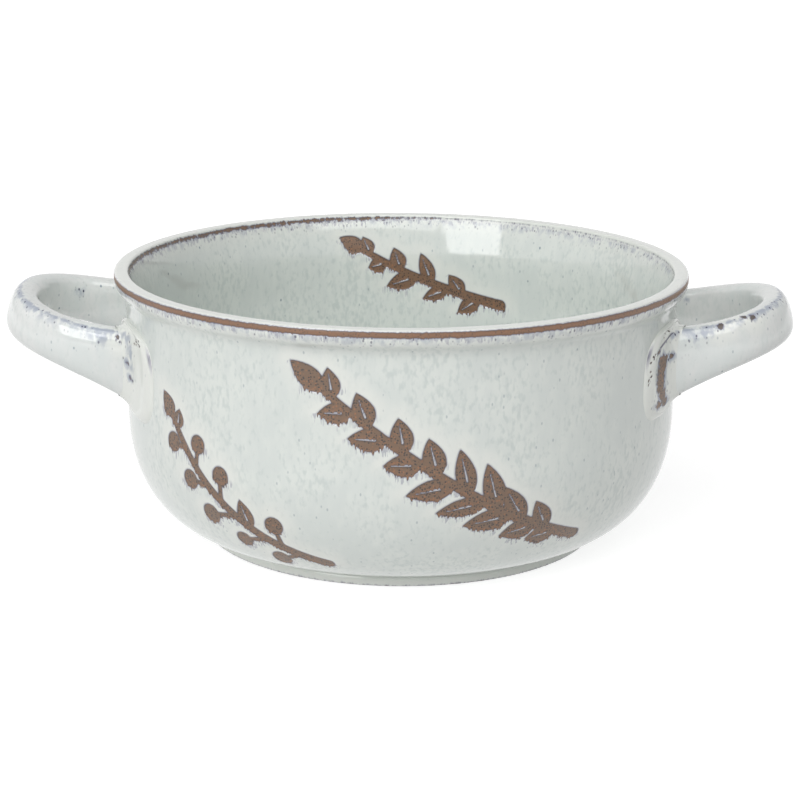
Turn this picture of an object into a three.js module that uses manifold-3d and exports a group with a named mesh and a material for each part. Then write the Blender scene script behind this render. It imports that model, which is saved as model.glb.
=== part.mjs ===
// A stoneware soup bowl with two strap handles.
// The bowl is formed on the wheel with a flared lip, and it stands on a foot ring. Each handle is
// a strap of clay bent into a loop, scribed to the wall and stuck on with slip, which is wet clay.
// Millimetres, +Z up, the origin in the middle of the face that the bowl stands on.
import * as THREE from 'three';
import { mergeVertices } from 'three/addons/utils/BufferGeometryUtils.js';
import Module from 'manifold-3d';

const wasm = await Module();
wasm.setup();

// Bowl: overall sizes
const RIM_RADIUS = 70; // outer edge of the lip
const BOWL_HEIGHT = 66; // table to the top of the lip
const WALL = 4; // thickness of the wall
const FLOOR = 4.6; // thickness of the floor

// Bowl: lip
const LIP_OVERHANG = 2.6; // how far the lip stands out past the wall
const LIP_HEIGHT = 7; // from the top down to where the outside starts to flare
const LIP_DEPTH = 16; // from the top down to where the inside starts to open
const LIP_THICKNESS = 3.6;
const LIP_EDGE = 2; // height of the upright outer edge of the lip
const LIP_SWEEP = 2.6; // how far the flare keeps upright at each of its ends
const LIP_ROUND = 0.9; // radius of its two corners

// Bowl: belly, the round stretch between the foot and the straight wall
const BELLY_TOP = 31.4; // height where the wall becomes straight
const BELLY_SPRING = 11.8; // slope of the belly where it leaves the foot, in degrees
const BELLY_REACH = 11.7; // how far it keeps that slope
const BELLY_RISE = 15.6; // how far below its top it is already nearly upright
const FLOOR_RADIUS = 28; // flat middle of the floor, inside
const FLOOR_SWEEP = 27; // how far the inside keeps level past that flat

// Foot ring
const FOOT_RADIUS = 48.9;
const FOOT_HEIGHT = 2.6;
const FOOT_WIDTH = 5.4; // width of the ring at its top
const FOOT_GROOVE = 0.6; // how far its top is turned in, below the belly
const FOOT_CHAMFER = 0.6; // broken edge along the table

// Handles
const HANDLE_SPAN = 45; // between the middles of the two arms
const HANDLE_LENGTH = 33.2; // of the loop's middle line, along its own slope
const RIGHT_SEAT = 7.3; // depth of the right loop's start behind the face of the wall
const LEFT_SEAT = 6.5; // the same for the left loop, which is pressed on less
const HANDLE_HEIGHT = 46; // height of the loop's start
const HANDLE_TILT = 15.8; // rise of the loop away from the wall, in degrees
const HANDLE_TWIST = 1.7; // lean of the loop to one side, as each is set by eye, in degrees
const HANDLE_NOSE = 2.88; // roundness of the loop's far end: 2 is an ellipse, more is squarer
const HANDLE_ARM = 2.32; // straightness of its arms, on the same scale
const STRAP_HEIGHT = 11;
const STRAP_THICKNESS = 7.2;
const STRAP_SQUARE = 2.79; // roundness of the strap's section, on the same scale
const ROOT_HEIGHT = 19; // the strap spreads towards this behind the face of the wall
const ROOT_THICKNESS = 7.8;
const ROOT_FADE = 2.6; // how soon that spread dies away along the arm

// Slip joints
const SLIP_WIDTH = 9.5; // how far the slip spreads over the wall, to each side of an arm
const SLIP_RISE = 1; // how far it spreads above and below the arm
const SLIP_REACH = 3.4; // how far it climbs along the arm
const SLIP_EDGE = 0.7; // thickness left at its two edges
const SLIP_KEY = 1; // how far it is carried into the wall before it is scribed to its face
const SLIP_GAP = 0.3; // clearance between a piece and the one that it is scribed to

// Fineness of the faceted surfaces
const TURN_SEGMENTS = 64; // round the bowl
const CURVE_SEGMENTS = 6; // along each curve of a turned outline
const LOOP_SEGMENTS = 44; // along a handle
const ROOT_CROWDING = 0.65; // how much closer its sections lie at the roots
const STRAP_SEGMENTS = 24; // round a strap
const COVE_SEGMENTS = 5; // across the hollow of a slip joint
const LINE_DIVISIONS = 600; // for measuring along the strap's middle line
const HALVINGS = 40; // of the search for a point of the strap at a given distance from the wall
const MERGE_TOLERANCE = 1e-4; // corners closer than this are one

const WALL_RADIUS = RIM_RADIUS - LIP_OVERHANG;
const INNER_RADIUS = WALL_RADIUS - WALL;
const FLOOR_TOP = FOOT_HEIGHT + FLOOR;
const WALL_TOP = BOWL_HEIGHT - LIP_HEIGHT;
const LIP_INNER_RADIUS = RIM_RADIUS - LIP_THICKNESS;
const QUARTER = Math.PI / 2;

const glaze = new THREE.MeshStandardMaterial({ color: 0xd5dcd5, roughness: 0.16, metalness: 0 });
const handleGlaze = new THREE.MeshStandardMaterial({ color: 0xd8dcdb, roughness: 0.16, metalness: 0 });
const pooledGlaze = new THREE.MeshStandardMaterial({ color: 0xe2e5dd, roughness: 0.2, metalness: 0 });
const footGlaze = new THREE.MeshStandardMaterial({ color: 0xc3cac2, roughness: 0.3, metalness: 0 });

// Solids

/** Positions and triangles of a geometry, with shared corners merged and empty triangles dropped. */
function closedMesh(geometry) {
  const bare = new THREE.BufferGeometry();
  bare.setAttribute('position', geometry.getAttribute('position'));
  bare.setIndex(geometry.getIndex());
  const merged = mergeVertices(bare, MERGE_TOLERANCE);
  const corners = merged.getIndex().array;
  const triangles = [];
  for (let i = 0; i < corners.length; i += 3) {
    const [a, b, c] = [corners[i], corners[i + 1], corners[i + 2]];
    if (a !== b && b !== c && c !== a) triangles.push(a, b, c);
  }
  return { vertices: merged.getAttribute('position').array, triangles };
}

function toSolid(geometry) {
  const { vertices, triangles } = closedMesh(geometry);
  return new wasm.Manifold(new wasm.Mesh({
    numProp: 3,
    vertProperties: new Float32Array(vertices),
    triVerts: new Uint32Array(triangles),
  }));
}

function toGeometry(solid) {
  const { vertProperties, triVerts } = solid.getMesh();
  const geometry = new THREE.BufferGeometry();
  geometry.setAttribute('position', new THREE.BufferAttribute(new Float32Array(vertProperties), 3));
  geometry.setIndex(new THREE.BufferAttribute(new Uint32Array(triVerts), 1));
  geometry.computeVertexNormals();
  return geometry;
}

/** An outline of radius and height, turned round the upright axis. */
function turned(path) {
  const geometry = new THREE.LatheGeometry(path.getPoints(CURVE_SEGMENTS), TURN_SEGMENTS);
  return geometry.rotateX(QUARTER);
}

/** A closed skin over a row of rings of equal count: with flat ends, or joined end to end. */
function lofted(rings, endless) {
  const around = rings[0].length;
  const positions = rings.flat().flatMap((point) => [point.x, point.y, point.z]);
  const triangles = [];
  for (let ring = endless ? 0 : 1; ring < rings.length; ring += 1) {
    const [from, to] = [(ring + rings.length - 1) % rings.length * around, ring * around];
    for (let k = 0; k < around; k += 1) {
      const next = (k + 1) % around;
      triangles.push(from + k, from + next, to + k, from + next, to + next, to + k);
    }
  }
  const last = (rings.length - 1) * around;
  for (let k = 1; k + 1 < around && !endless; k += 1) {
    triangles.push(0, k + 1, k, last, last + k, last + k + 1);
  }
  const geometry = new THREE.BufferGeometry();
  geometry.setAttribute('position', new THREE.Float32BufferAttribute(positions, 3));
  geometry.setIndex(triangles);
  return geometry;
}

// Bowl

/** The outside from the foot to the lip's edge, moved out by grow. */
function outsideLine(path, grow) {
  const slope = THREE.MathUtils.degToRad(BELLY_SPRING);
  path.lineTo(FOOT_RADIUS + grow, FOOT_HEIGHT);
  path.bezierCurveTo(
    FOOT_RADIUS + grow + BELLY_REACH * Math.cos(slope), FOOT_HEIGHT + BELLY_REACH * Math.sin(slope),
    WALL_RADIUS + grow, BELLY_TOP - BELLY_RISE,
    WALL_RADIUS + grow, BELLY_TOP,
  );
  path.lineTo(WALL_RADIUS + grow, WALL_TOP);
  path.bezierCurveTo(
    WALL_RADIUS + grow, WALL_TOP + LIP_SWEEP,
    RIM_RADIUS + grow, BOWL_HEIGHT - LIP_EDGE - LIP_SWEEP,
    RIM_RADIUS + grow, BOWL_HEIGHT - LIP_EDGE,
  );
}

function bowlBody() {
  const path = new THREE.Path();
  path.moveTo(0, FOOT_HEIGHT);
  outsideLine(path, 0);
  path.lineTo(RIM_RADIUS, BOWL_HEIGHT - LIP_ROUND);
  path.quadraticCurveTo(RIM_RADIUS, BOWL_HEIGHT, RIM_RADIUS - LIP_ROUND, BOWL_HEIGHT);
  path.lineTo(LIP_INNER_RADIUS + LIP_ROUND, BOWL_HEIGHT);
  path.quadraticCurveTo(
    LIP_INNER_RADIUS, BOWL_HEIGHT,
    LIP_INNER_RADIUS, BOWL_HEIGHT - LIP_ROUND,
  );
  path.quadraticCurveTo(
    INNER_RADIUS, BOWL_HEIGHT - (LIP_ROUND + LIP_DEPTH) / 2,
    INNER_RADIUS, BOWL_HEIGHT - LIP_DEPTH,
  );
  path.lineTo(INNER_RADIUS, BELLY_TOP);
  path.bezierCurveTo(
    INNER_RADIUS, BELLY_TOP - BELLY_RISE,
    FLOOR_RADIUS + FLOOR_SWEEP, FLOOR_TOP,
    FLOOR_RADIUS, FLOOR_TOP,
  );
  path.lineTo(0, FLOOR_TOP);
  return turned(path);
}

/** Everything inside the bowl's outer face, with the clearance that a scribed piece keeps to it. */
function bowlEnvelope() {
  const path = new THREE.Path();
  path.moveTo(0, FOOT_HEIGHT);
  outsideLine(path, SLIP_GAP);
  path.lineTo(RIM_RADIUS + SLIP_GAP, BOWL_HEIGHT);
  path.lineTo(0, BOWL_HEIGHT);
  return toSolid(turned(path));
}

function footRing() {
  const top = FOOT_RADIUS - FOOT_GROOVE;
  const inner = top - FOOT_WIDTH;
  const path = new THREE.Path();
  path.moveTo(inner + FOOT_CHAMFER, 0);
  path.lineTo(FOOT_RADIUS - FOOT_CHAMFER, 0);
  path.lineTo(FOOT_RADIUS, FOOT_CHAMFER);
  path.lineTo(FOOT_RADIUS, FOOT_HEIGHT / 2);
  path.lineTo(top, FOOT_HEIGHT);
  path.lineTo(inner, FOOT_HEIGHT);
  path.lineTo(inner, FOOT_CHAMFER);
  path.lineTo(inner + FOOT_CHAMFER, 0);
  return turned(path);
}

// Handles

/** The strap's middle line in its own plane: out along one arm, round the end, and back. */
class StrapLine extends THREE.Curve {
  getPoint(t, target = new THREE.Vector3()) {
    const angle = t * Math.PI;
    const out = HANDLE_LENGTH * Math.sin(angle) ** (2 / HANDLE_NOSE);
    const side = Math.abs(Math.cos(angle)) ** (2 / HANDLE_ARM) * Math.sign(Math.cos(angle));
    return target.set(t === 1 ? 0 : out, -HANDLE_SPAN / 2 * side, 0);
  }
}

const strapLine = new StrapLine();
strapLine.arcLengthDivisions = LINE_DIVISIONS;

/** From the strap's own plane to its place on the right of the bowl. */
function handlePlace(seat) {
  return new THREE.Matrix4()
    .makeTranslation(WALL_RADIUS - seat, 0, HANDLE_HEIGHT)
    .multiply(new THREE.Matrix4().makeRotationX(-THREE.MathUtils.degToRad(HANDLE_TWIST)))
    .multiply(new THREE.Matrix4().makeRotationY(-THREE.MathUtils.degToRad(HANDLE_TILT)));
}

/** Where a section of the strap lies: distance along the line, negative behind its start. */
function strapFrame(along) {
  const share = THREE.MathUtils.clamp(along / strapLine.getLength(), 0, 1);
  const past = Math.max(along - strapLine.getLength(), -along, 0);
  const middle = strapLine.getPointAt(share);
  middle.setX(middle.x - past);
  const forward = strapLine.getTangentAt(share);
  const rooted = (1 - middle.x / HANDLE_LENGTH) ** ROOT_FADE;
  return {
    middle,
    across: new THREE.Vector3(-forward.y, forward.x, 0).normalize(),
    halfHeight: THREE.MathUtils.lerp(STRAP_HEIGHT, ROOT_HEIGHT, rooted) / 2,
    halfThickness: THREE.MathUtils.lerp(STRAP_THICKNESS, ROOT_THICKNESS, rooted) / 2,
  };
}

/** A point of the strap's skin in its own frame, with its section grown sideways and upwards. */
function strapPoint({ middle, across, halfHeight, halfThickness }, angle, sideways, upwards) {
  const [cos, sin] = [Math.cos(angle), Math.sin(angle)];
  const x = Math.sign(cos) * Math.abs(cos) ** (2 / STRAP_SQUARE);
  const y = Math.sign(sin) * Math.abs(sin) ** (2 / STRAP_SQUARE);
  return middle.clone()
    .addScaledVector(across, (halfThickness + sideways) * x)
    .setZ((halfHeight + upwards) * y);
}

const strapAngles = Array.from({ length: STRAP_SEGMENTS }, (_, k) => k / STRAP_SEGMENTS * 2 * Math.PI);

/** The whole strap, with both ends carried well into the wall, then scribed to its face. */
function handle(seat) {
  const length = strapLine.getLength();
  const stations = [-seat];
  for (let i = 0; i <= LOOP_SEGMENTS; i += 1) {
    const turn = 2 * Math.PI * i / LOOP_SEGMENTS;
    stations.push(length * (turn - ROOT_CROWDING * Math.sin(turn)) / (2 * Math.PI));
  }
  stations.push(length + seat);
  const place = handlePlace(seat);
  const rings = stations.map((along) => {
    const frame = strapFrame(along);
    return strapAngles.map((angle) => strapPoint(frame, angle, 0, 0).applyMatrix4(place));
  });
  return toGeometry(toSolid(lofted(rings, false)).subtract(bowlEnvelope()));
}

// Slip joints

/** Where a root's skin, grown as said, stands off the wall's face by a distance: by halving. */
function rootPoint(place, lastArm, angle, sideways, upwards, distance) {
  let near = -WALL_RADIUS;
  let far = HANDLE_LENGTH;
  let point;
  for (let step = 0; step < HALVINGS; step += 1) {
    const middle = (near + far) / 2;
    const frame = strapFrame(lastArm ? strapLine.getLength() - middle : middle);
    point = strapPoint(frame, angle, sideways, upwards).applyMatrix4(place);
    if (Math.hypot(point.x, point.y) - WALL_RADIUS < distance) near = middle;
    else far = middle;
  }
  return point;
}

/** The slip's section: share of its spread, and distance from the wall. A hollow cove. */
function slipSection() {
  const corners = [{ spread: 0, stand: -SLIP_KEY }, { spread: 1, stand: -SLIP_KEY }];
  const thin = SLIP_EDGE / SLIP_WIDTH;
  for (let i = 0; i <= COVE_SEGMENTS; i += 1) {
    const turn = QUARTER * i / COVE_SEGMENTS;
    corners.push({
      spread: 1 - (1 - thin) * Math.sin(turn),
      stand: SLIP_GAP + SLIP_REACH - (SLIP_REACH - SLIP_EDGE) * Math.cos(turn),
    });
  }
  corners.push({ spread: 0, stand: SLIP_GAP + SLIP_REACH });
  return corners;
}

/** Slip round the root of the strap's first arm, on the -Y side, or of its last one, on the +Y side. */
function slipJoint(seat, lastArm) {
  const place = handlePlace(seat);
  const rings = strapAngles.map((angle) => slipSection().map(({ spread, stand }) => rootPoint(
    place,
    lastArm,
    angle,
    SLIP_GAP + SLIP_WIDTH * spread,
    SLIP_GAP + SLIP_RISE * spread,
    stand,
  )));
  const ring = lofted(lastArm ? rings : rings.reverse(), true);
  return toGeometry(toSolid(ring).subtract(bowlEnvelope()));
}

// Assembly

function piece(name, geometry, material) {
  const mesh = new THREE.Mesh(geometry, material);
  mesh.name = name;
  return mesh;
}

/** A handle with its two slip joints, made for the right side and turned round to its own. */
function handleSet(side, seat, turn, [firstArm, lastArm]) {
  const set = new THREE.Group();
  set.add(piece(`${side}_handle`, handle(seat), handleGlaze));
  set.add(piece(`${side}_${firstArm}_slip_joint`, slipJoint(seat, false), pooledGlaze));
  set.add(piece(`${side}_${lastArm}_slip_joint`, slipJoint(seat, true), pooledGlaze));
  set.rotation.z = turn;
  return set;
}

const soupBowl = new THREE.Group();
soupBowl.add(piece('bowl_body', bowlBody(), glaze));
soupBowl.add(piece('foot_ring', footRing(), footGlaze));
soupBowl.add(handleSet('right', RIGHT_SEAT, 0, ['front', 'rear']));
soupBowl.add(handleSet('left', LEFT_SEAT, Math.PI, ['rear', 'front']));

export default soupBowl;
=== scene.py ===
import math

import bmesh
import bpy
import numpy as np
from mathutils import Matrix, Vector


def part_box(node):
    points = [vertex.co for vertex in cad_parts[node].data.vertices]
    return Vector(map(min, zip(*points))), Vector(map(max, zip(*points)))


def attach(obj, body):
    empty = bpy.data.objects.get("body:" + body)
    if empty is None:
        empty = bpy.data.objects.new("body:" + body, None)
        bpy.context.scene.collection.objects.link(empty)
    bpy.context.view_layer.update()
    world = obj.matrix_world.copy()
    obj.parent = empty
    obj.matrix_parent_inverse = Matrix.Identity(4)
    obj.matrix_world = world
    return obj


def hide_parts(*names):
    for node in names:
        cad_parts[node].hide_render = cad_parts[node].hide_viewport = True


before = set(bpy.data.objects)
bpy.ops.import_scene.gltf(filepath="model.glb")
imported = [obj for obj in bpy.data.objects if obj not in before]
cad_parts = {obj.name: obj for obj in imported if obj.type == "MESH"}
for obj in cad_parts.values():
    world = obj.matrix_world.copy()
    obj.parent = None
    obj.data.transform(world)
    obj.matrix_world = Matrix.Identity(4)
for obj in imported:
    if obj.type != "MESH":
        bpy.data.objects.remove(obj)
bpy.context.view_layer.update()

# Camera
# It stands half a metre in front of the bowl and a little above the rim, with a long lens.
# The place, the lens and the slight roll were found from the outline of the bowl.
MM = 0.001
eye = Vector((8.55, -521.03, 174.7)) * MM
aim = Vector((-0.14, 0, 31.4)) * MM
eye_roll = math.radians(0.34)

camera = bpy.data.objects.new("camera", bpy.data.cameras.new("camera"))
bpy.context.collection.objects.link(camera)
camera.data.sensor_width = 36
camera.data.lens = 97.5
turn = (aim - eye).to_track_quat("-Z", "Y").to_matrix().to_4x4()
camera.matrix_world = Matrix.Translation(eye) @ turn @ Matrix.Rotation(eye_roll, 4, "Z")
bpy.context.scene.camera = camera

# Bowl
# It is thrown on the wheel in brown stoneware: a flat floor, a round belly, an upright wall and a
# lip that flares out and is trimmed flat. It is dipped in one coat of pale reactive glaze.
bowl_low, bowl_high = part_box("bowl_body")
rim_radius = bowl_high.y
rim_top = bowl_high.z
foot_top = bowl_low.z
foot_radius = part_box("foot_ring")[1].x
wall_radius = rim_radius - 2.6 * MM
inner_radius = wall_radius - 4 * MM
floor_top = foot_top + 4.6 * MM
floor_radius = 28 * MM
floor_sweep = 27 * MM
belly_top = 31.4 * MM
belly_rise = 15.6 * MM
belly_spring = math.radians(11.8)
belly_reach = 11.7 * MM
lip_start = rim_top - 7 * MM
lip_edge = rim_top - 2 * MM
lip_sweep = 2.6 * MM
lip_round = 0.9 * MM
lip_inner_radius = rim_radius - 3.6 * MM
lip_inner_start = rim_top - 16 * MM


def stretch(handles, steps):
    """Points along a straight line or a Bezier curve, without its last one."""
    handles = np.array(handles, float)
    share = np.arange(steps)[:, None] / steps
    order = len(handles) - 1
    return sum(
        math.comb(order, i) * (1 - share) ** (order - i) * share**i * handles[i]
        for i in range(order + 1)
    )


belly_handle = (
    foot_radius + belly_reach * math.cos(belly_spring),
    foot_top + belly_reach * math.sin(belly_spring),
)
underside = stretch([(0, foot_top), (foot_radius, foot_top)], 6)
outside = np.vstack([
    stretch([(foot_radius, foot_top), belly_handle, (wall_radius, belly_top - belly_rise),
             (wall_radius, belly_top)], 38),
    stretch([(wall_radius, belly_top), (wall_radius, lip_start)], 26),
    stretch([(wall_radius, lip_start), (wall_radius, lip_start + lip_sweep),
             (rim_radius, lip_edge - lip_sweep), (rim_radius, lip_edge)], 14),
    stretch([(rim_radius, lip_edge), (rim_radius, rim_top - lip_round)], 6),
])
lip = np.vstack([
    stretch([(rim_radius, rim_top - lip_round), (rim_radius, rim_top),
             (rim_radius - lip_round, rim_top)], 6),
    stretch([(rim_radius - lip_round, rim_top), (lip_inner_radius + lip_round, rim_top)], 5),
    stretch([(lip_inner_radius + lip_round, rim_top), (lip_inner_radius, rim_top),
             (lip_inner_radius, rim_top - lip_round)], 6),
])
inside = np.vstack([
    stretch([(lip_inner_radius, rim_top - lip_round),
             (inner_radius, (rim_top - lip_round + lip_inner_start) / 2),
             (inner_radius, lip_inner_start)], 20),
    stretch([(inner_radius, lip_inner_start), (inner_radius, belly_top)], 24),
    stretch([(inner_radius, belly_top), (inner_radius, belly_top - belly_rise),
             (floor_radius + floor_sweep, floor_top), (floor_radius, floor_top)], 32),
    stretch([(floor_radius, floor_top), (0, floor_top)], 7),
    [(0, floor_top)],
])


class Wire:
    """A value on its way through a node tree, so that sums of nodes read as sums."""

    def __init__(self, socket):
        self.socket = socket
        self.tree = socket.id_data

    def __add__(self, other):
        return calc("ADD", self, other)

    def __sub__(self, other):
        return calc("SUBTRACT", self, other)

    def __mul__(self, other):
        return calc("MULTIPLY", self, other)

    def __truediv__(self, other):
        return calc("DIVIDE", self, other)


def plug(value, socket):
    """Sets a node's input to a plain value, or links a wire to it."""
    if isinstance(value, Wire):
        socket.id_data.links.new(value.socket, socket)
    else:
        socket.default_value = value


def calc(operation, *values):
    tree = next(value.tree for value in values if isinstance(value, Wire))
    node = tree.nodes.new("ShaderNodeMath")
    node.operation = operation
    for value, socket in zip(values, node.inputs):
        plug(value, socket)
    return Wire(node.outputs[0])


def add_node(tree, kind, inputs, **settings):
    """Adds a node to a tree, with its settings and its inputs by name."""
    node = tree.nodes.new(kind)
    for key, value in settings.items():
        setattr(node, key, value)
    for key, value in inputs.items():
        plug(value, node.inputs[key])
    return node


def node_piece(name, start, build, sizes):
    """Runs a tree of geometry nodes over a starting mesh, and keeps the result as a plain mesh."""
    tree = bpy.data.node_groups.new(name + "_nodes", "GeometryNodeTree")
    tree.interface.new_socket("Geometry", in_out="INPUT", socket_type="NodeSocketGeometry")
    tree.interface.new_socket("Geometry", in_out="OUTPUT", socket_type="NodeSocketGeometry")
    kinds = {int: "NodeSocketInt", float: "NodeSocketFloat", bpy.types.Material: "NodeSocketMaterial"}
    sockets = {
        key: tree.interface.new_socket(key, in_out="INPUT", socket_type=kinds[type(value)])
        for key, value in sizes.items()
    }
    entry = tree.nodes.new("NodeGroupInput")
    shape = build(tree, {socket.name: Wire(socket) for socket in entry.outputs if socket.name})
    smooth = add_node(tree, "GeometryNodeSetShadeSmooth", {"Geometry": shape})
    real = add_node(tree, "GeometryNodeRealizeInstances", {"Geometry": Wire(smooth.outputs[0])})
    coat = add_node(tree, "GeometryNodeSetMaterial", {
        "Geometry": Wire(real.outputs[0]),
        "Material": Wire(entry.outputs["Glaze"]),
    })
    leave = tree.nodes.new("NodeGroupOutput")
    plug(Wire(coat.outputs[0]), leave.inputs[0])
    piece = bpy.data.objects.new(name, start)
    bpy.context.collection.objects.link(piece)
    modifier = piece.modifiers.new(name, "NODES")
    modifier.node_group = tree
    for key, value in sizes.items():
        modifier[sockets[key].identifier] = value
    depsgraph = bpy.context.evaluated_depsgraph_get()
    mesh = bpy.data.meshes.new_from_object(piece.evaluated_get(depsgraph), depsgraph=depsgraph)
    piece.modifiers.clear()
    piece.data = mesh
    return piece


def rippled(tree, shape, depth):
    """Sinks a skin by up to depth in soft waves, as melted glaze lies on clay."""
    place = add_node(tree, "GeometryNodeInputPosition", {})
    waves = add_node(tree, "ShaderNodeTexNoise", {
        "Vector": Wire(place.outputs[0]),
        "Scale": 130.0,
        "Detail": 1.0,
    })
    outward = add_node(tree, "GeometryNodeInputNormal", {})
    sink = add_node(tree, "ShaderNodeVectorMath", {
        0: Wire(outward.outputs[0]),
        "Scale": Wire(waves.outputs[0]) * depth * -1.0,
    }, operation="SCALE")
    moved = add_node(tree, "GeometryNodeSetPosition", {
        "Geometry": shape,
        "Offset": Wire(sink.outputs[0]),
    })
    return Wire(moved.outputs[0])


def turned_nodes(tree, inputs):
    """Turns an upright outline of radius and height round the axis of the wheel."""
    outline = inputs["Geometry"]
    columns = inputs["Columns"]
    size = add_node(tree, "GeometryNodeAttributeDomainSize", {"Geometry": outline})
    rows = Wire(size.outputs["Point Count"])
    grid = add_node(tree, "GeometryNodeMeshGrid", {"Vertices X": columns + 1, "Vertices Y": rows})
    index = Wire(add_node(tree, "GeometryNodeInputIndex", {}).outputs[0])
    column = calc("FLOOR", (index + 0.5) / rows)
    row = index - column * rows
    angle = column / columns * math.tau
    place = add_node(tree, "GeometryNodeInputPosition", {})
    point = add_node(tree, "GeometryNodeSampleIndex", {
        "Geometry": outline,
        "Value": Wire(place.outputs[0]),
        "Index": row,
    }, data_type="FLOAT_VECTOR")
    split = add_node(tree, "ShaderNodeSeparateXYZ", {0: Wire(point.outputs[0])})
    radius = Wire(split.outputs["X"])
    spun = add_node(tree, "ShaderNodeCombineXYZ", {
        "X": radius * calc("COSINE", angle),
        "Y": radius * calc("SINE", angle),
        "Z": Wire(split.outputs["Z"]),
    })
    turned = add_node(tree, "GeometryNodeSetPosition", {
        "Geometry": Wire(grid.outputs["Mesh"]),
        "Position": Wire(spun.outputs[0]),
    })
    down = add_node(tree, "GeometryNodeInputNamedAttribute", {"Name": "down"}, data_type="FLOAT")
    depth = add_node(tree, "GeometryNodeSampleIndex", {
        "Geometry": outline,
        "Value": Wire(down.outputs[0]),
        "Index": row,
    }, data_type="FLOAT")
    marked = add_node(tree, "GeometryNodeStoreNamedAttribute", {
        "Geometry": Wire(turned.outputs[0]),
        "Name": "down",
        "Value": Wire(depth.outputs[0]),
    }, data_type="FLOAT", domain="POINT")
    closed = add_node(tree, "GeometryNodeMergeByDistance", {
        "Geometry": Wire(marked.outputs[0]),
        "Distance": 1e-6,
    })
    return rippled(tree, Wire(closed.outputs[0]), inputs["Ripple"])


def turned_piece(name, outline, down, columns, glaze):
    """A turned piece whose skin knows how far down the glaze has run to each point."""
    line = bpy.data.meshes.new(name + "_outline")
    points = [(radius, 0, height) for radius, height in outline]
    line.from_pydata(points, [(i, i + 1) for i in range(len(points) - 1)], [])
    line.attributes.new("down", "FLOAT", "POINT").data.foreach_set("value", down)
    sizes = {"Columns": columns, "Ripple": glaze_ripple, "Glaze": glaze}
    return node_piece(name, line, turned_nodes, sizes)


def paint(red, green, blue):
    """A colour as it is seen on a screen, in the linear values that a shader takes."""
    return tuple(
        value / 255 / 12.92 if value / 255 <= 0.04045 else ((value / 255 + 0.055) / 1.055) ** 2.4
        for value in (red, green, blue)
    ) + (1,)


celadon = paint(215, 221, 217)
cream = paint(231, 233, 227)
sea_grey = paint(192, 202, 199)
fleck_blue = paint(104, 126, 140)
mist_blue = paint(148, 157, 175)
violet = paint(124, 120, 148)
ink = paint(52, 54, 82)
bare_clay = paint(110, 84, 62)
burnt_clay = paint(46, 34, 29)
toasted_clay = paint(144, 96, 60)
glaze_ripple = 0.05 * MM


def mixed(first, second, share):
    tree = share.tree
    node = add_node(tree, "ShaderNodeMix", {}, data_type="RGBA")
    plug(share, node.inputs["Factor"])
    plug(first, node.inputs[6])
    plug(second, node.inputs[7])
    return Wire(node.outputs[2])


def fade(value, low, high):
    """0 up to low and 1 from high on, with a soft step between."""
    node = add_node(value.tree, "ShaderNodeMapRange", {
        "Value": value,
        "From Min": low,
        "From Max": high,
    }, interpolation_type="SMOOTHSTEP")
    return Wire(node.outputs[0])


def stretched(place, across, along):
    """A place in millimetres, scaled across the runs of the glaze and along them."""
    node = add_node(place.tree, "ShaderNodeVectorMath", {0: place}, operation="MULTIPLY")
    node.inputs[1].default_value = (across, across, along)
    return Wire(node.outputs[0])


def cloud(place, detail):
    node = add_node(place.tree, "ShaderNodeTexNoise", {
        "Vector": place,
        "Scale": 1.0,
        "Detail": detail,
    })
    return Wire(node.outputs["Fac"])


def flecks(place, share, size):
    """1 in the middle of scattered spots: a share of the cells has one, of up to that size."""
    node = add_node(place.tree, "ShaderNodeTexVoronoi", {"Vector": place, "Scale": 1.0})
    lot = add_node(place.tree, "ShaderNodeSeparateColor", {0: Wire(node.outputs["Color"])})
    chosen = fade(Wire(lot.outputs[0]), 1 - share, 1 - share * 0.6)
    edge = chosen * size
    return fade(edge - Wire(node.outputs["Distance"]), 0.0, size * 0.6) * chosen


def glaze_value(tree, name):
    node = add_node(tree, "ShaderNodeAttribute", {}, attribute_name=name)
    return Wire(node.outputs["Fac"])


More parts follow.
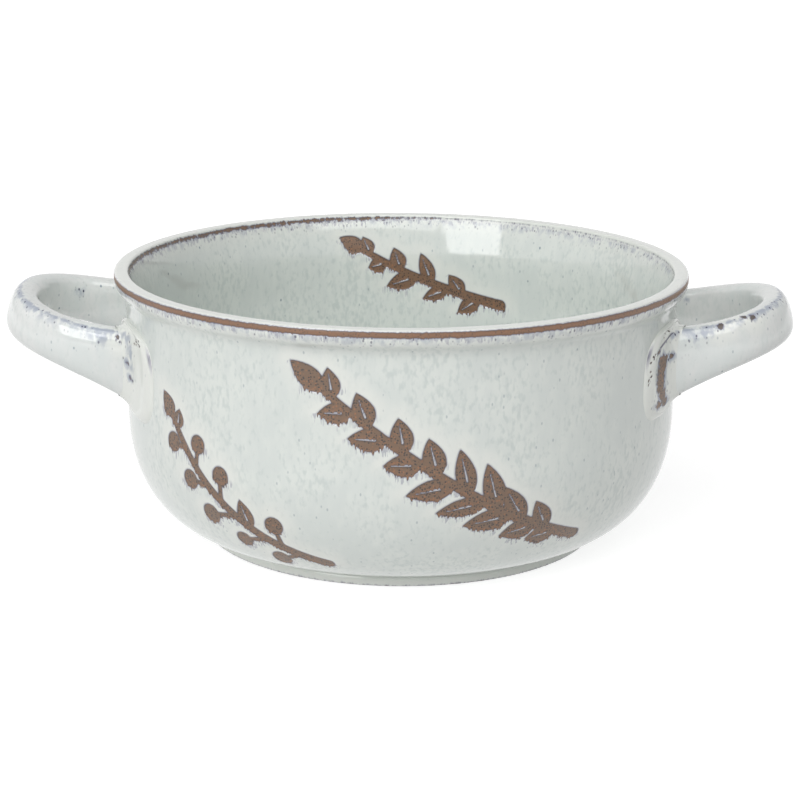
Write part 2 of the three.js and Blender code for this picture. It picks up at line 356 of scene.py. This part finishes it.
def reactive_glaze(name, thick, thin, mottle):
    """Pale glaze that breaks to bare clay where the skin says, with a blue fringe and specks.

    The skin gives, in millimetres: run, the place along the flow of the glaze; bare, the distance
    outside bare clay; drip, 1 on edges that the glaze ran away from; wobble, how ragged an edge
    is; speckle, how much blue the spot has of itself; warm, how far the clay is toasted, or burnt
    below 0; and pale, how white the glaze lies where it pools.
    """
    material = bpy.data.materials.new(name)
    material.use_nodes = True
    tree = material.node_tree
    shader = tree.nodes["Principled BSDF"]
    run = Wire(add_node(tree, "ShaderNodeAttribute", {}, attribute_name="run").outputs["Vector"])
    drip = glaze_value(tree, "drip")
    speckle = glaze_value(tree, "speckle")

    teeth = cloud(stretched(run, 1.9, 0.25), 2.0)
    nibbles = cloud(stretched(run, 0.8, 0.8), 2.0)
    ragged = (teeth + nibbles - 1.0) * glaze_value(tree, "wobble") * 2.4
    bare = glaze_value(tree, "bare") + ragged - fade(teeth, 0.44, 0.7) * drip * 0.8

    patches = cloud(stretched(run, 0.06, 0.05), 2.0)
    veils = cloud(stretched(run, 0.42, 0.17), 2.0)
    flakes = cloud(stretched(run, 1.0, 0.55), 1.5)
    body = mixed(thick, thin, fade(patches * 0.6 + veils * 0.4, 0.38, 0.62))
    body = mixed(body, sea_grey, fade(flakes + (patches - 0.5) * 0.6, 0.48, 0.78) * mottle)
    # Cream near bare edges: glaze that pools along the print and the lip lines, and on the flat lip top
    # between the band and the line, where the cream is partly thin pale glaze and partly a painted
    # highlight on the top that faces the lamps.
    pooled_and_lip_highlight = calc("MAXIMUM", fade(bare, 5.5, 0.5) * (drip * -0.7 + 1.0) * 0.8, glaze_value(tree, "pale"))
    body = mixed(body, cream, pooled_and_lip_highlight)
    specks = flecks(stretched(run, 0.3, 0.2), 0.14, 0.11)
    dust = flecks(stretched(run, 0.8, 0.45), 0.18, 0.24) * 0.5
    body = mixed(body, fleck_blue, calc("MAXIMUM", specks, dust) * fade(bare, 0.4, 2.5) * 0.8)

    combs = fade(cloud(stretched(run, 2.1, 0.2), 2.0), 0.36, 0.68)
    fringe = fade(bare, 0.55, 0.0) * 0.65
    streaks = fade(bare - combs * 1.8, 0.3, -0.3) * fade(drip, 0.0, 0.4) * fade(veils, 0.36, 0.62) * 0.5
    mist = fade(cloud(stretched(run, 0.6, 0.35), 3.0) + speckle * 0.32, 0.58, 0.86) * speckle * 0.85
    dots = flecks(stretched(run, 1.2, 0.75), 0.55, 0.38) * speckle
    body = mixed(body, mist_blue, mist)
    body = mixed(body, violet, calc("MAXIMUM", fringe, streaks))
    body = mixed(body, ink, calc("MAXIMUM", dots * 1.2, fade(bare, 0.2, 0.0) * 0.8))

    pins = flecks(stretched(run, 1.8, 1.8), 0.9, 0.5)
    toasts = flecks(stretched(run, 1.5, 1.5), 0.7, 0.5)
    warm = glaze_value(tree, "warm")
    toasted = calc("MAXIMUM", warm, drip * fade(bare, -1.3, -0.2) * 0.4)
    clay = mixed(bare_clay, toasted_clay, calc("MAXIMUM", toasts * 0.9, toasted))
    burnt = calc("MAXIMUM", pins * (warm * -2.0 + 1.5), fade(bare, -0.45, 0.0) * 0.5)
    clay = mixed(clay, burnt_clay, calc("MAXIMUM", burnt, warm * -1.0))
    glazed = fade(bare, -0.05, 0.07)
    plug(mixed(clay, body, glazed), shader.inputs["Base Color"])
    plug(calc("SUBTRACT", 0.42, glazed * 0.35), shader.inputs["Roughness"])
    shader.inputs["IOR"].default_value = 1.75

    swell = fade(bare, -0.1, 0.6) * (0.1 * MM)
    lumps = cloud(stretched(run, 0.25, 0.12), 2.0) * (0.05 * MM)
    bump = add_node(tree, "ShaderNodeBump", {
        "Strength": 1.0,
        "Distance": 1.0,
        "Height": swell + lumps + pins * (glazed - 1.0) * (0.02 * MM),
    })
    plug(Wire(bump.outputs[0]), shader.inputs["Normal"])
    return material


bowl_outline = np.vstack([underside, outside, lip, inside])
bowl_length = np.append(0, np.cumsum(np.hypot(*np.diff(bowl_outline, axis=0).T)))
lip_length = bowl_length[len(underside) + len(outside)]
bowl_down = (lip_length - bowl_length) / MM
bowl_glaze = reactive_glaze("bowl_glaze", celadon, paint(223, 228, 223), 0.55)
bowl = turned_piece("glazed_bowl", bowl_outline, bowl_down, 400, bowl_glaze)


# Print on the bowl
# Sprigs were laid on in wax, which kept the glaze off, so they show as bare brown clay: a long
# leafy branch and a twig of berries on the front of the wall, and a leafy twig on the far inside.
def leaf(place, base, lean, length, width):
    """Distance outside a pointed leaf that grows from its base at an angle."""
    along = np.array((math.cos(lean), math.sin(lean)))
    across = np.array((-along[1], along[0]))
    reach = (place - base) @ along / length
    side = np.abs((place - base) @ across)
    within = np.clip(reach, 0, 1)
    blade = side - width / 2 * np.sin(math.pi * within**0.8) ** 0.85
    return np.where(reach == within, blade, np.hypot(side, length * (reach - within)))


def vein(place, base, lean, length):
    """Distance outside the thin line of glaze along the middle of a leaf."""
    along = np.array((math.cos(lean), math.sin(lean))) * length
    return stem(place, [base + 0.3 * along, base + 0.8 * along], 0.32, 0.16)


def stem(place, points, thick, thin):
    """Distance outside a stem along a row of points, which gets thinner towards its tip."""
    points = np.array(points)
    best = np.full(len(place), np.inf)
    for i, (start, end) in enumerate(zip(points[:-1], points[1:])):
        step = end - start
        share = np.clip((place - start) @ step / (step @ step), 0, 1)
        gap = np.linalg.norm(place - start - share[:, None] * step, axis=1)
        half = thick + (thin - thick) * (i + share) / (len(points) - 1)
        best = np.minimum(best, gap - half)
    return best


def merged(first, second):
    """Joins two distances with a small round fillet, as wax runs together."""
    fillet = 0.9
    near = np.clip(0.5 + (second - first) / fillet, 0, 1)
    return second + (first - second) * near - fillet / 2 * near * (1 - near)


def sprig(place, handles, pairs, lean, length, width, fruit, seed):
    """A stem with leaves to both sides and a last one at its tip, or with berries among them."""
    chance = np.random.default_rng(seed)
    steps = 24
    points = np.vstack([stretch(handles, steps), handles[-1:]])
    shape = stem(place, points, 1.4, 0.7)
    veins = np.full(len(place), np.inf)
    for share in (np.arange(2 * pairs) + 0.5) / (2 * pairs):
        at = 0.1 + 0.86 * share
        step = int(at * steps)
        base = np.array([np.interp(at * steps, np.arange(steps + 1), points[:, i]) for i in range(2)])
        ahead = points[min(steps, step + 1)] - points[step - 1]
        side = 1 if round(share * 2 * pairs - 0.5) % 2 else -1
        angle = math.atan2(ahead[1], ahead[0]) + side * (lean + chance.uniform(-0.14, 0.14))
        reach = length * (1 - 0.42 * abs(2 * share - 0.75)) * chance.uniform(0.85, 1.12)
        tip = base + reach * np.array((math.cos(angle), math.sin(angle)))
        if fruit and chance.uniform() < fruit:
            shape = merged(shape, stem(place, [base, tip], 0.6, 0.45))
            shape = merged(shape, np.linalg.norm(place - tip, axis=1) - chance.uniform(2.0, 2.8))
        else:
            shape = merged(shape, leaf(place, base, angle, reach, width * chance.uniform(0.85, 1.15)))
            veins = np.minimum(veins, vein(place, base, angle, reach))
    ahead = points[-1] - points[-3]
    last = math.atan2(ahead[1], ahead[0])
    shape = merged(shape, leaf(place, points[-2], last, length * 0.8, width))
    return np.maximum(shape, -veins)


def print_distance(arc, down):
    """Distance outside the print, on the wall laid flat: millimetres right of its middle and down."""
    inner_start = 3.6
    front = np.stack([arc[0], down], 1)
    far = np.stack([arc[1], -down - inner_start], 1)
    branch_line = np.array([(47, 53), (20, 44), (-19, 12)])
    twig_line = np.array([(-17, 59), (-42, 52), (-60, 25)])
    inner_line = np.array([(27, 24), (6, 21), (-13, 9)])
    branch = sprig(front, branch_line, pairs=8, lean=0.66, length=12.5, width=4.9, fruit=0, seed=3)
    twig = sprig(front, twig_line, pairs=5, lean=0.85, length=8.5, width=4.4, fruit=0.7, seed=8)
    inner = sprig(far, inner_line, pairs=4, lean=0.72, length=9.0, width=4.3, fruit=0, seed=5)
    return np.where(down > 0, np.minimum(branch, twig), inner)


def wall_place(points):
    """Arc right of the middle of the front and of the far side, as the camera sees them."""
    front = np.arctan2(points[:, 0], -points[:, 1]) * wall_radius / MM
    far = np.arctan2(points[:, 0], points[:, 1]) * inner_radius / MM
    return front, far


def skin_points(mesh):
    points = np.empty(len(mesh.vertices) * 3)
    mesh.vertices.foreach_get("co", points)
    return points.reshape(-1, 3)


def skin_values(mesh, name):
    values = np.empty(len(mesh.vertices))
    mesh.attributes[name].data.foreach_get("value", values)
    return values


def write_skin(mesh, name, values):
    kind = "FLOAT_VECTOR" if values.ndim == 2 else "FLOAT"
    field = mesh.attributes.get(name) or mesh.attributes.new(name, kind, "POINT")
    field.data.foreach_set("vector" if values.ndim == 2 else "value", values.astype(np.float32).ravel())


def dress(mesh, run, bare, drip=0, wobble=0, speckle=0, warm=0, pale=0):
    """Gives a skin the values that its glaze reads."""
    write_skin(mesh, "run", run)
    values = {
        "bare": bare, "drip": drip, "wobble": wobble, "speckle": speckle, "warm": warm, "pale": pale,
    }
    for name, value in values.items():
        write_skin(mesh, name, np.broadcast_to(value, len(run)))


def refine(mesh):
    """Halves the faces along the edges of the print, twice, so that they come out crisp."""
    work = bmesh.new()
    work.from_mesh(mesh)
    depth = work.verts.layers.float["down"]
    for near in (1.1, 0.6):
        middles = np.array([face.calc_center_median() for face in work.faces])
        downs = np.array([np.mean([vert[depth] for vert in face.verts]) for face in work.faces])
        gap = np.abs(print_distance(wall_place(middles), downs))
        edges = {edge for face, d in zip(work.faces, gap) if d < near for edge in face.edges}
        bmesh.ops.subdivide_edges(work, edges=list(edges), cuts=1, use_grid_fill=True)
    bmesh.ops.triangulate(work, faces=[face for face in work.faces if len(face.verts) > 4])
    work.to_mesh(mesh)
    work.free()


def soft_step(value, low, high):
    share = np.clip((value - low) / (high - low), 0, 1)
    return share * share * (3 - 2 * share)


refine(bowl.data)
skin = skin_points(bowl.data)
down = skin_values(bowl.data, "down")
arc = wall_place(skin)
printed = print_distance(arc, down)
probe = 0.1
lower_edge = (print_distance(arc, down + probe) - print_distance(arc, down - probe)) / (2 * probe)
lower_edge = np.where(down > 0, lower_edge, -lower_edge)
band_middle = 0.15
band_half_width = 0.56
line_middle = -4.9
line_half_width = 0.36
lip_band = np.abs(down - band_middle) - band_half_width
lip_line = np.abs(down - line_middle) - line_half_width + 0.45 * soft_step(arc[1], -22, 30)
bare = np.minimum(printed, np.minimum(lip_band, lip_line))
on_lip = bare < printed
on_band = on_lip & (lip_band < lip_line)
lip_drip = np.where(on_band, 0.35 * (down > band_middle), 0.5 * (down < line_middle))
outer_blue = soft_step(down, 4.5, 1.2)
inner_blue = soft_step(-down, 9, 5.4) * (down < line_middle)
dress(
    bowl.data,
    np.stack([skin[:, 0] / MM, skin[:, 1] / MM, down], 1),
    bare,
    drip=np.where(on_lip, lip_drip, np.clip(lower_edge, 0, 1)),
    wobble=np.where(on_lip, np.where(on_band, 0.16, 0.4), 0.04),
    speckle=np.where(down > 0, outer_blue, inner_blue) * 0.6,
    warm=np.where(on_band, 0.5, np.where(down < 0, 0.2, 0)),
)
normals = np.empty(len(skin) * 3)
bowl.data.vertices.foreach_get("normal", normals)
print_depth = 0.1 * MM
skin -= normals.reshape(-1, 3) * (soft_step(printed, 0.3, -0.3) * print_depth)[:, None]
bowl.data.vertices.foreach_set("co", skin.ravel())
bowl.data.update()
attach(bowl, "root")
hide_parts("bowl_body")

# Foot ring
# The trimmed ring of clay under the floor that the bowl stands on. The glaze lies thinner on it
# and is wiped off the face that meets the table. Its pale grey green is painted lighter than the
# bowl's glaze, as painted bounce light from the bright table below.
foot_inner = foot_radius - 6 * MM
foot_chamfer = 0.6 * MM
foot_groove = 0.6 * MM
foot_outline = np.vstack([
    stretch([(foot_radius - foot_groove, foot_top), (foot_inner, foot_top)], 6),
    stretch([(foot_inner, foot_top), (foot_inner, foot_chamfer)], 4),
    stretch([(foot_inner, foot_chamfer), (foot_inner, 0), (foot_inner + foot_chamfer, 0)], 4),
    stretch([(foot_inner + foot_chamfer, 0), (foot_radius - foot_chamfer, 0)], 6),
    stretch([(foot_radius - foot_chamfer, 0), (foot_radius, 0), (foot_radius, foot_chamfer)], 6),
    stretch([(foot_radius, foot_chamfer), (foot_radius, foot_top / 2)], 4),
    stretch([(foot_radius, foot_top / 2), (foot_radius, foot_top * 0.8),
             (foot_radius - foot_groove, foot_top)], 6),
    [(foot_radius - foot_groove, foot_top)],
])[::-1]
foot_length = np.append(0, np.cumsum(np.hypot(*np.diff(foot_outline, axis=0).T)))
# The foot's colours are painted lighter than the bowl's: painted bounce light for the shade it sits in
# under the belly.
foot_glaze = reactive_glaze("foot_glaze", paint(236, 242, 236), paint(229, 237, 230), 0.3)
foot = turned_piece("turned_foot", foot_outline, foot_length / MM, 320, foot_glaze)
skin = skin_points(foot.data)
past_edge = np.hypot(skin[:, 0], skin[:, 1]) - foot_radius + foot_chamfer
wiped = np.hypot(skin[:, 2], np.maximum(0, past_edge))
dress(foot.data, skin / MM, wiped / MM - 0.35, wobble=0.3)
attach(foot, "root")
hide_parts("foot_ring")

# Handles
# Each is a pulled strap of clay, bent into a loop and set on the leather hard wall. Its two roots
# widen where they meet the wall, and the glaze breaks blue and brown along its shoulders.
handle_span = 45 * MM
handle_length = 33.2 * MM
handle_seats = {"right": 7.3 * MM, "left": 6.5 * MM}
handle_height = 46 * MM
handle_tilt = math.radians(15.8)
handle_twist = math.radians(-1.7)
handle_nose = 2.88
handle_arm = 2.32
strap_height = 11 * MM
strap_thickness = 7.2 * MM
strap_square = 2.79
root_height = 19 * MM
root_thickness = 7.8 * MM
root_fade = 2.6


def swollen(value, power):
    """A sine or cosine, made squarer by a power over two."""
    return np.sign(value) * np.abs(value) ** (2 / power)


bends = np.linspace(0, math.pi, 4001)
strap_line = np.stack([
    handle_length * swollen(np.sin(bends), handle_nose),
    -handle_span / 2 * swollen(np.cos(bends), handle_arm),
], 1)
strap_along = np.append(0, np.cumsum(np.hypot(*np.diff(strap_line, axis=0).T)))


def on_strap(along):
    """The strap's middle line in its own plane, carried straight on past its two ends."""
    within = np.clip(along, 0, strap_along[-1])
    place = np.stack([np.interp(within, strap_along, strap_line[:, i]) for i in range(2)], -1)
    place[..., 0] -= np.abs(along - within)
    return place


def strap_point(seat, along, angle, sideways, upwards):
    """A point on the skin of the strap, from 0 inside the loop over its top to pi outside it."""
    middle = on_strap(along)
    ahead = on_strap(along + 0.2 * MM) - on_strap(along - 0.2 * MM)
    ahead /= np.linalg.norm(ahead, axis=-1, keepdims=True)
    rooted = (1 - middle[..., 0] / handle_length) ** root_fade
    half_height = (strap_height + (root_height - strap_height) * rooted) / 2 + upwards
    half_thickness = (strap_thickness + (root_thickness - strap_thickness) * rooted) / 2 + sideways
    aside = half_thickness * swollen(np.cos(angle), strap_square)
    rise = half_height * swollen(np.sin(angle), strap_square)
    out = middle[..., 0] - ahead[..., 1] * aside
    across = middle[..., 1] + ahead[..., 0] * aside
    up = math.sin(handle_tilt) * out + math.cos(handle_tilt) * rise
    return np.stack([
        wall_radius - seat + math.cos(handle_tilt) * out - math.sin(handle_tilt) * rise,
        math.cos(handle_twist) * across - math.sin(handle_twist) * up,
        handle_height + math.sin(handle_twist) * across + math.cos(handle_twist) * up,
    ], -1)


def wall_gap(points):
    return np.hypot(points[..., 0], points[..., 1]) - wall_radius


def root_along(seat, last_arm, angle, sideways, upwards, stand):
    """How far along the strap its skin, grown a little, stands so far off the wall."""
    shape = np.broadcast_shapes(np.shape(angle), np.shape(sideways), np.shape(stand))
    low = np.full(shape, -wall_radius)
    high = np.full(shape, handle_length)
    for _ in range(40):
        middle = (low + high) / 2
        along = strap_along[-1] - middle if last_arm else middle
        near = wall_gap(strap_point(seat, along, angle, sideways, upwards)) < stand
        low = np.where(near, middle, low)
        high = np.where(near, high, middle)
    return strap_along[-1] - high if last_arm else high


def ring_mesh(name, rings, joined):
    """A closed skin over rows of rings, which join at their ends or are capped there."""
    rows, columns = rings.shape[:2]
    points = rings.reshape(-1, 3)
    faces = []
    for i in range(rows if joined else rows - 1):
        for j in range(columns):
            here, there = i * columns, (i + 1) % rows * columns
            after = (j + 1) % columns
            faces.append((here + j, here + after, there + after, there + j))
    if not joined:
        points = np.vstack([points, rings[0].mean(0), rings[-1].mean(0)])
        last = (rows - 1) * columns
        for j in range(columns):
            after = (j + 1) % columns
            faces.append((rows * columns, after, j))
            faces.append((rows * columns + 1, last + j, last + after))
    mesh = bpy.data.meshes.new(name)
    mesh.from_pydata(points.tolist(), [], faces)
    return mesh


def rippled_nodes(tree, inputs):
    return rippled(tree, inputs["Geometry"], inputs["Ripple"])


def bump_at(value, middle, width):
    """1 at a middle value, fading to both sides of it."""
    return np.exp(-(((value - middle) / width) ** 2))


handle_rings = 180
handle_sides = 88
root_bury = 1.3 * MM
shoulder_turn = 116
handle_glaze = reactive_glaze("handle_glaze", paint(218, 223, 221), paint(226, 228, 226), 0.25)
brown_spots = {
    "right": [(0.187, 125, 0.75), (0.251, 113, 0.5), (0.273, 130, 0.65)],
    "left": [(0.921, 133, 0.3), (0.936, 147, 0.2)],
}
blue_blots = {"right": (0.845, 40), "left": (0.267, 19)}

angles = np.arange(handle_sides) / handle_sides * math.tau
shares = np.linspace(0, 1, handle_rings)
shares = shares - 0.09 * np.sin(math.tau * shares)
for side, facing in (("right", 1), ("left", -1)):
    seat = handle_seats[side]
    starts = root_along(seat, False, angles, 0, 0, -root_bury)
    ends = root_along(seat, True, angles, 0, 0, -root_bury)
    alongs = starts + (ends - starts) * shares[:, None]
    rings = strap_point(seat, alongs, angles, 0, 0) * (facing, facing, 1)
    shape = ring_mesh(side + "_strap", rings, False)
    sizes = {"Ripple": glaze_ripple, "Glaze": handle_glaze}
    handle = node_piece(side + "_strap", shape, rippled_nodes, sizes)

    skin = skin_points(handle.data)
    degrees = np.append(np.tile(np.degrees(angles), handle_rings), (0, 0))
    stand = wall_gap(skin) / MM

    def spot_gap(share, turned):
        """Distance in millimetres from a spot on the strap."""
        spot = strap_point(seat, strap_along[-1] * share, math.radians(turned), 0, 0)
        return np.linalg.norm(skin - spot * (facing, facing, 1), axis=1) / MM

    spotted = np.min([spot_gap(share, turned) - size for share, turned, size in brown_spots[side]], 0)
    shoulder = bump_at(degrees, shoulder_turn, np.where(degrees < shoulder_turn, 14, 30))
    root_mist = bump_at(stand, 8, 5) * bump_at(degrees, 136, 28)
    keel = bump_at(degrees, 250, 10) * 0.4
    near_spots = bump_at(spotted, 0, 1.1) * 0.8
    blot = bump_at(spot_gap(*blue_blots[side]), 0, 1.6)
    dress(
        handle.data,
        np.stack([skin[:, 0], skin[:, 1], -skin[:, 2]], 1) / MM,
        spotted,
        wobble=0.5,
        speckle=np.max([shoulder, root_mist, keel, near_spots, blot], axis=0),
        warm=-0.85,
    )
    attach(handle, "root")
    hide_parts(side + "_handle")

# Slip joints
# A fillet of thick slip, wiped round each root, holds the handle to the wall. The glaze pools on it
# and has boiled out in clusters of dark pinholes. The right front root shows as a brown ridge.
slip_gap = 0.3 * MM
slip_width = 9.5 * MM
slip_rise = 1 * MM
slip_sides = 420
slip_angles = np.arange(slip_sides) / slip_sides * math.tau
collar_radius = 12
slip_under = -0.12
slip_back = -1.0
slip_crest = 3.2
hole_density = 0.9e6
hole_size = 0.36 * MM

cove = np.linspace(0, math.pi / 2, 80)
spread = 1 - 1.05 * np.sin(cove)
hollow = 3.45 - 2.6 * np.cos(cove)
rounded = np.sqrt(1 - 0.97 * np.clip((spread - 0.86) / 0.14, 0, 1) ** 2)
ridge = 0.12 * bump_at(spread, 0.42, 0.12) + 0.24 * bump_at(spread, 0.79, 0.14)
section = np.vstack([
    stretch([(slip_under, slip_back), (1, slip_back)], 4),
    stretch([(1, slip_back), (1, 0.12)], 3),
    np.stack([spread, hollow * rounded + ridge], 1),
    stretch([(slip_under, slip_crest), (slip_under, slip_back)], 4),
])


def pinholed_nodes(tree, inputs):
    """Sinks scattered pinholes into a skin, most where the skin says, and marks them."""
    shape = rippled(tree, inputs["Geometry"], inputs["Ripple"])
    zone = add_node(tree, "GeometryNodeInputNamedAttribute", {"Name": "boiled"}, data_type="FLOAT")
    holes = add_node(tree, "GeometryNodeDistributePointsOnFaces", {
        "Mesh": shape,
        "Density": Wire(zone.outputs[0]) * inputs["Holes"],
        "Seed": 11,
    })
    near = add_node(tree, "GeometryNodeProximity", {
        "Geometry": Wire(holes.outputs["Points"]),
    }, target_element="POINTS")
    depth = fade(Wire(near.outputs["Distance"]), inputs["Size"], inputs["Size"] * 0.3)
    outward = add_node(tree, "GeometryNodeInputNormal", {})
    sink = add_node(tree, "ShaderNodeVectorMath", {
        0: Wire(outward.outputs[0]),
        "Scale": depth * inputs["Size"] * -1.0,
    }, operation="SCALE")
    marked = add_node(tree, "GeometryNodeStoreNamedAttribute", {
        "Geometry": shape,
        "Name": "hole",
        "Value": depth,
    }, data_type="FLOAT", domain="POINT")
    moved = add_node(tree, "GeometryNodeSetPosition", {
        "Geometry": Wire(marked.outputs[0]),
        "Offset": Wire(sink.outputs[0]),
    })
    return Wire(moved.outputs[0])


slip_glaze = reactive_glaze("slip_glaze", paint(216, 221, 217), paint(223, 227, 222), 0.25)
boiled_patches = {
    "right": [(117, 0.62, 11, 0.2, 2.4), (161, 0.86, 6, 0.05, 2.5), (180, 0.9, 3, 0.03, 3.0)],
    "left": [(134, 0.68, 9, 0.18, 2.4), (171, 0.86, 3, 0.03, 3.0)],
}
burnt_blots = {
    "right": [(157, 0.64, 0.3), (171, 0.1, 0.4)],
    "left": [(187, 0.18, 0.3), (176, 0.06, 0.05)],
}
seam_shares = {"right": 0.4, "left": 0.2}
worn_ridge = [(3.9, 49.9), (4.4, 46.8), (4.35, 44.2), (3.8, 41), (3.7, 39.8)]
worn_foot = [(3.8, 39.9), (6.9, 39.2)]
for side, end, last_arm in (("right", "front", False), ("right", "rear", True),
                            ("left", "rear", False), ("left", "front", True)):
    seat = handle_seats[side]
    facing = 1 if side == "right" else -1
    grown = slip_gap + section[:, 0] * slip_width
    lifted = slip_gap + section[:, 0] * slip_rise
    turned = slip_angles[:, None]
    along = root_along(seat, last_arm, turned, grown, lifted, section[:, 1] * MM)
    rings = strap_point(seat, along, turned, grown, lifted) * (facing, facing, 1)
    share, stand = section[:, 0], section[:, 1]
    if not last_arm:
        rings, share, stand = rings[:, ::-1], share[::-1], stand[::-1]
    name = side + "_" + end + "_fillet"
    shape = ring_mesh(name, rings, True)
    degrees = np.repeat(np.degrees(slip_angles), len(section))
    share = np.tile(share, slip_sides)
    on_top = np.tile(stand, slip_sides) > 0.1
    clusters = sum(
        amount * bump_at(degrees, middle, turn_width) * bump_at(share, out, out_width)
        for middle, out, turn_width, out_width, amount in boiled_patches[side]
    )
    write_skin(shape, "boiled", clusters * on_top)
    sizes = {"Ripple": glaze_ripple, "Holes": hole_density, "Size": hole_size, "Glaze": slip_glaze}
    fillet = node_piece(name, shape, pinholed_nodes, sizes)

    skin = skin_points(fillet.data)
    run = np.stack([skin[:, 0], skin[:, 1], -skin[:, 2]], 1) / MM
    holes = skin_values(fillet.data, "hole")
    bare = 1.5 - 3 * holes
    across = share * slip_width / MM
    worn = np.full(len(skin), 9.0)
    for middle, out, size in burnt_blots[side]:
        arc = np.radians(degrees - middle) * collar_radius
        worn = np.minimum(worn, np.hypot(arc, across - out * slip_width / MM) - size)
    # A dark blue line along the slip's outer edge, fading towards its ends, is painted shade in the
    # crease where the slip meets the wall.
    outline = np.maximum(9.4 - across, 0.06) + 0.6 * (1 - bump_at(degrees, 156, 20))
    if name == "right_front_fillet":
        flat = np.stack([across, skin[:, 2] / MM], 1)
        ridge_gap = np.minimum(stem(flat, worn_ridge, 1.45, 1.05), stem(flat, worn_foot, 0.6, 0.4))
        worn = np.minimum(worn, np.where(np.abs(degrees - 190) < 45, ridge_gap, 9))
        crease = np.abs(share - np.interp(degrees, (122, 158), (0.16, 0.7))) * slip_width / MM
        crease = np.where(np.abs(degrees - 140) < 18, np.maximum(crease - 0.35, 0.05), 9)
        outline = np.minimum(outline, crease)
    seam = bump_at(share, seam_shares[side], 0.16) * bump_at(degrees, 165, 32)
    root_mist = bump_at(share, 0.1, 0.22) * bump_at(degrees, 130, 22)
    dress(
        fillet.data,
        run,
        np.where(on_top, np.min([bare, worn, outline], 0), bare),
        wobble=np.where(worn < 1, 0.8, 0),
        speckle=np.max([seam * 0.9, bump_at(worn, 0, 1.3), root_mist], axis=0),
        warm=-0.8 * holes,
        pale=soft_step(share, 0.5, 0.66) * 0.5,
    )
    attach(fillet, "root")
    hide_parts(side + "_" + end + "_slip_joint")

# Stage
# A white floor that keeps a soft shadow and gets brighter further off, a white room that lights the
# left more than the right, and three soft lamps: left, far left and above the camera.
floor = bpy.data.objects.new("floor", bpy.data.meshes.new("floor"))
floor_half = 6.0
floor.data.from_pydata(
    [(-floor_half, -floor_half, 0), (floor_half, -floor_half, 0),
     (floor_half, floor_half, 0), (-floor_half, floor_half, 0)], [], [(0, 1, 2, 3)])
bpy.context.collection.objects.link(floor)


def background_rays(tree):
    """1 for a ray that sees the room itself: from the camera, or mirrored on the glaze."""
    rays = tree.nodes.new("ShaderNodeLightPath")
    seen = calc("MAXIMUM", Wire(rays.outputs["Is Camera Ray"]), Wire(rays.outputs["Is Glossy Ray"]))
    return calc("MAXIMUM", seen, Wire(rays.outputs["Is Transmission Ray"]))


paper = bpy.data.materials.new("paper")
paper.use_nodes = True
paper_tree = paper.node_tree
paper_shader = paper_tree.nodes["Principled BSDF"]
paper_grey = 0.45
paper_bounce = 0.28
paper_shader.inputs["Base Color"].default_value = (paper_grey, paper_grey, paper_grey, 1)
paper_shader.inputs["Roughness"].default_value = 1
paper_shader.inputs["Specular IOR Level"].default_value = 0
paper_shader.inputs["Emission Color"].default_value = (1, 1, 1, 1)
paper_place = add_node(paper_tree, "ShaderNodeTexCoord", {})
far_off = add_node(paper_tree, "ShaderNodeVectorMath", {
    0: Wire(paper_place.outputs["Object"]),
}, operation="LENGTH")
paper_glow = fade(Wire(far_off.outputs["Value"]), 0.2, 0.8) * 0.4 + 0.5
paper_light = background_rays(paper_tree) * paper_glow + paper_bounce
plug(paper_light, paper_shader.inputs["Emission Strength"])
floor.data.materials.append(paper)

room = bpy.data.worlds.new("room")
bpy.context.scene.world = room
room.use_nodes = True
room_light = room.node_tree.nodes["Background"]
room_light.inputs["Color"].default_value = (1, 1, 1, 1)
room_place = add_node(room.node_tree, "ShaderNodeTexCoord", {})
room_sides = add_node(room.node_tree, "ShaderNodeSeparateXYZ", {
    0: Wire(room_place.outputs["Generated"]),
})
room_dim = Wire(room_sides.outputs["X"]) * -0.22 + 0.25
plug(calc("MAXIMUM", background_rays(room.node_tree), room_dim), room_light.inputs["Strength"])


def softbox(name, azimuth, elevation, distance, width, height, power):
    """A square lamp that looks at the bowl, by its angle left or right of the camera."""
    lamp = bpy.data.lights.new(name, "AREA")
    lamp.shape = "RECTANGLE"
    lamp.size = width
    lamp.size_y = height
    lamp.energy = power
    side, rise = math.radians(azimuth), math.radians(elevation)
    middle = Vector((0, 0, rim_top / 2))
    away = Vector((math.sin(side) * math.cos(rise), -math.cos(side) * math.cos(rise), math.sin(rise)))
    holder = bpy.data.objects.new(name, lamp)
    holder.location = middle + away * distance
    holder.rotation_euler = away.to_track_quat("Z", "Y").to_euler()
    bpy.context.collection.objects.link(holder)


softbox("key_lamp", -34, 26, 1.1, 0.5, 0.72, 3.4)
softbox("side_lamp", -80, 25, 1.5, 1.4, 1.4, 1.0)
softbox("front_lamp", 13, 55, 1.5, 1.6, 1.6, 14)

bpy.context.scene.view_settings.view_transform = "Standard"
